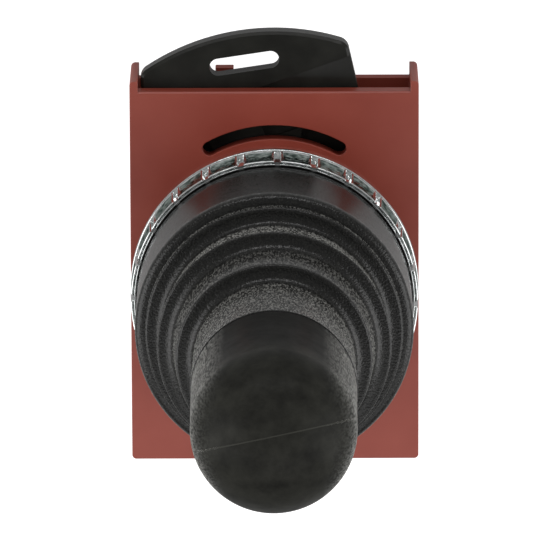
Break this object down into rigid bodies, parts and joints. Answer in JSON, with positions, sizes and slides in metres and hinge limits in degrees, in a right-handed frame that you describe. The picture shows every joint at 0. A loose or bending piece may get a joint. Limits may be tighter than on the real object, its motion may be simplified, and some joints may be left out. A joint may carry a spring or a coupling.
{
  "type": "industrial joystick",
  "caption": "Panel-mount industrial joystick: rubber-booted lever on a two-axis gimbal in a notched metal bezel, held behind the panel by a latch adapter.",
  "frame": {"origin": "on the lever's axis, in the plane where the gasket meets the front of the panel", "axes": "+Z out through the knob, +Y towards the latch lever, +X to the right seen from the front"},
  "size_m": [0.03, 0.0452, 0.0853],
  "materials": {
    "red_brown_plastic": "moulded, satin",
    "black_plastic": "moulded, satin",
    "knob_black": "smooth satin",
    "black_rubber": "moulded, fine grain",
    "chrome_plate": "bright chrome plate",
    "plated_steel": "zinc plated",
    "spring_steel": "drawn wire",
    "brass": "turned",
    "white_plastic": "moulded"
  },
  "bodies": {
    "adapter": {"adapter_housing": "red_brown_plastic", "thrust_screws": "plated_steel"},
    "latch": {"latch_lever": "black_plastic"},
    "operator": {"operator_bushing": "black_plastic", "bezel_ring": "chrome_plate", "panel_gasket": "black_rubber", "boot_clamp_ring": "black_plastic", "clamp_screws": "plated_steel", "rubber_boot": "black_rubber", "centering_spring": "spring_steel", "gimbal_outer_pins": "plated_steel", "stroke_limit_plate": "plated_steel", "base_cap": "black_plastic", "cap_screws": "plated_steel", "plunger_spring_right": "spring_steel", "plunger_spring_top": "spring_steel", "plunger_spring_left": "spring_steel", "plunger_spring_bottom": "spring_steel"},
    "gimbal": {"gimbal_ring": "plated_steel"},
    "lever": {"gimbal_inner_pins": "plated_steel", "lever_hub": "plated_steel", "lever_shaft": "plated_steel", "spring_collar": "plated_steel", "retaining_clip": "spring_steel", "actuator_plate": "plated_steel", "plate_nut": "plated_steel", "knob": "knob_black", "knob_insert": "brass"},
    "plunger_right_body": {"plunger_right": "white_plastic"},
    "plunger_top_body": {"plunger_top": "white_plastic"},
    "plunger_left_body": {"plunger_left": "white_plastic"},
    "plunger_bottom_body": {"plunger_bottom": "white_plastic"}
  },
  "joints": [
    {"name": "latch_swing", "type": "hinge", "parent": "adapter", "child": "latch", "pos_m": [0, 0, -0.0155], "axis": [0, 0, 1], "range_deg": [-16, 0]},
    {"name": "operator_lift", "type": "slide", "parent": "adapter", "child": "operator", "axis": [0, 0, 1], "range_m": [0, 0.022]},
    {"name": "gimbal_tilt", "type": "hinge", "parent": "operator", "child": "gimbal", "pos_m": [0, 0, 0.0009], "axis": [1, 0, 0], "range_deg": [-12, 12], "stiffness_Nm_per_rad": 0.6, "deforming": ["rubber_boot", "centering_spring", "plunger_spring_top", "plunger_spring_bottom"]},
    {"name": "lever_tilt", "type": "hinge", "parent": "gimbal", "child": "lever", "pos_m": [0, 0, 0.0009], "axis": [0, 1, 0], "range_deg": [-12, 12], "stiffness_Nm_per_rad": 0.6, "deforming": ["plunger_spring_right", "plunger_spring_left"]},
    {"name": "plunger_right_slide", "type": "slide", "parent": "operator", "child": "plunger_right_body", "axis": [0, 0, 1], "range_m": [-0.0014, 0.0014]},
    {"name": "plunger_left_slide", "type": "slide", "parent": "operator", "child": "plunger_left_body", "axis": [0, 0, 1], "range_m": [-0.0014, 0.0014]},
    {"name": "plunger_top_slide", "type": "slide", "parent": "operator", "child": "plunger_top_body", "axis": [0, 0, 1], "range_m": [-0.0014, 0.0014]},
    {"name": "plunger_bottom_slide", "type": "slide", "parent": "operator", "child": "plunger_bottom_body", "axis": [0, 0, 1], "range_m": [-0.0014, 0.0014]}
  ],
  "couplings": [
    {"joint": "plunger_right_slide", "follows": "lever_tilt", "m_per_rad": -0.006},
    {"joint": "plunger_left_slide", "follows": "lever_tilt", "m_per_rad": 0.006},
    {"joint": "plunger_top_slide", "follows": "gimbal_tilt", "m_per_rad": 0.006},
    {"joint": "plunger_bottom_slide", "follows": "gimbal_tilt", "m_per_rad": -0.006}
  ]
}
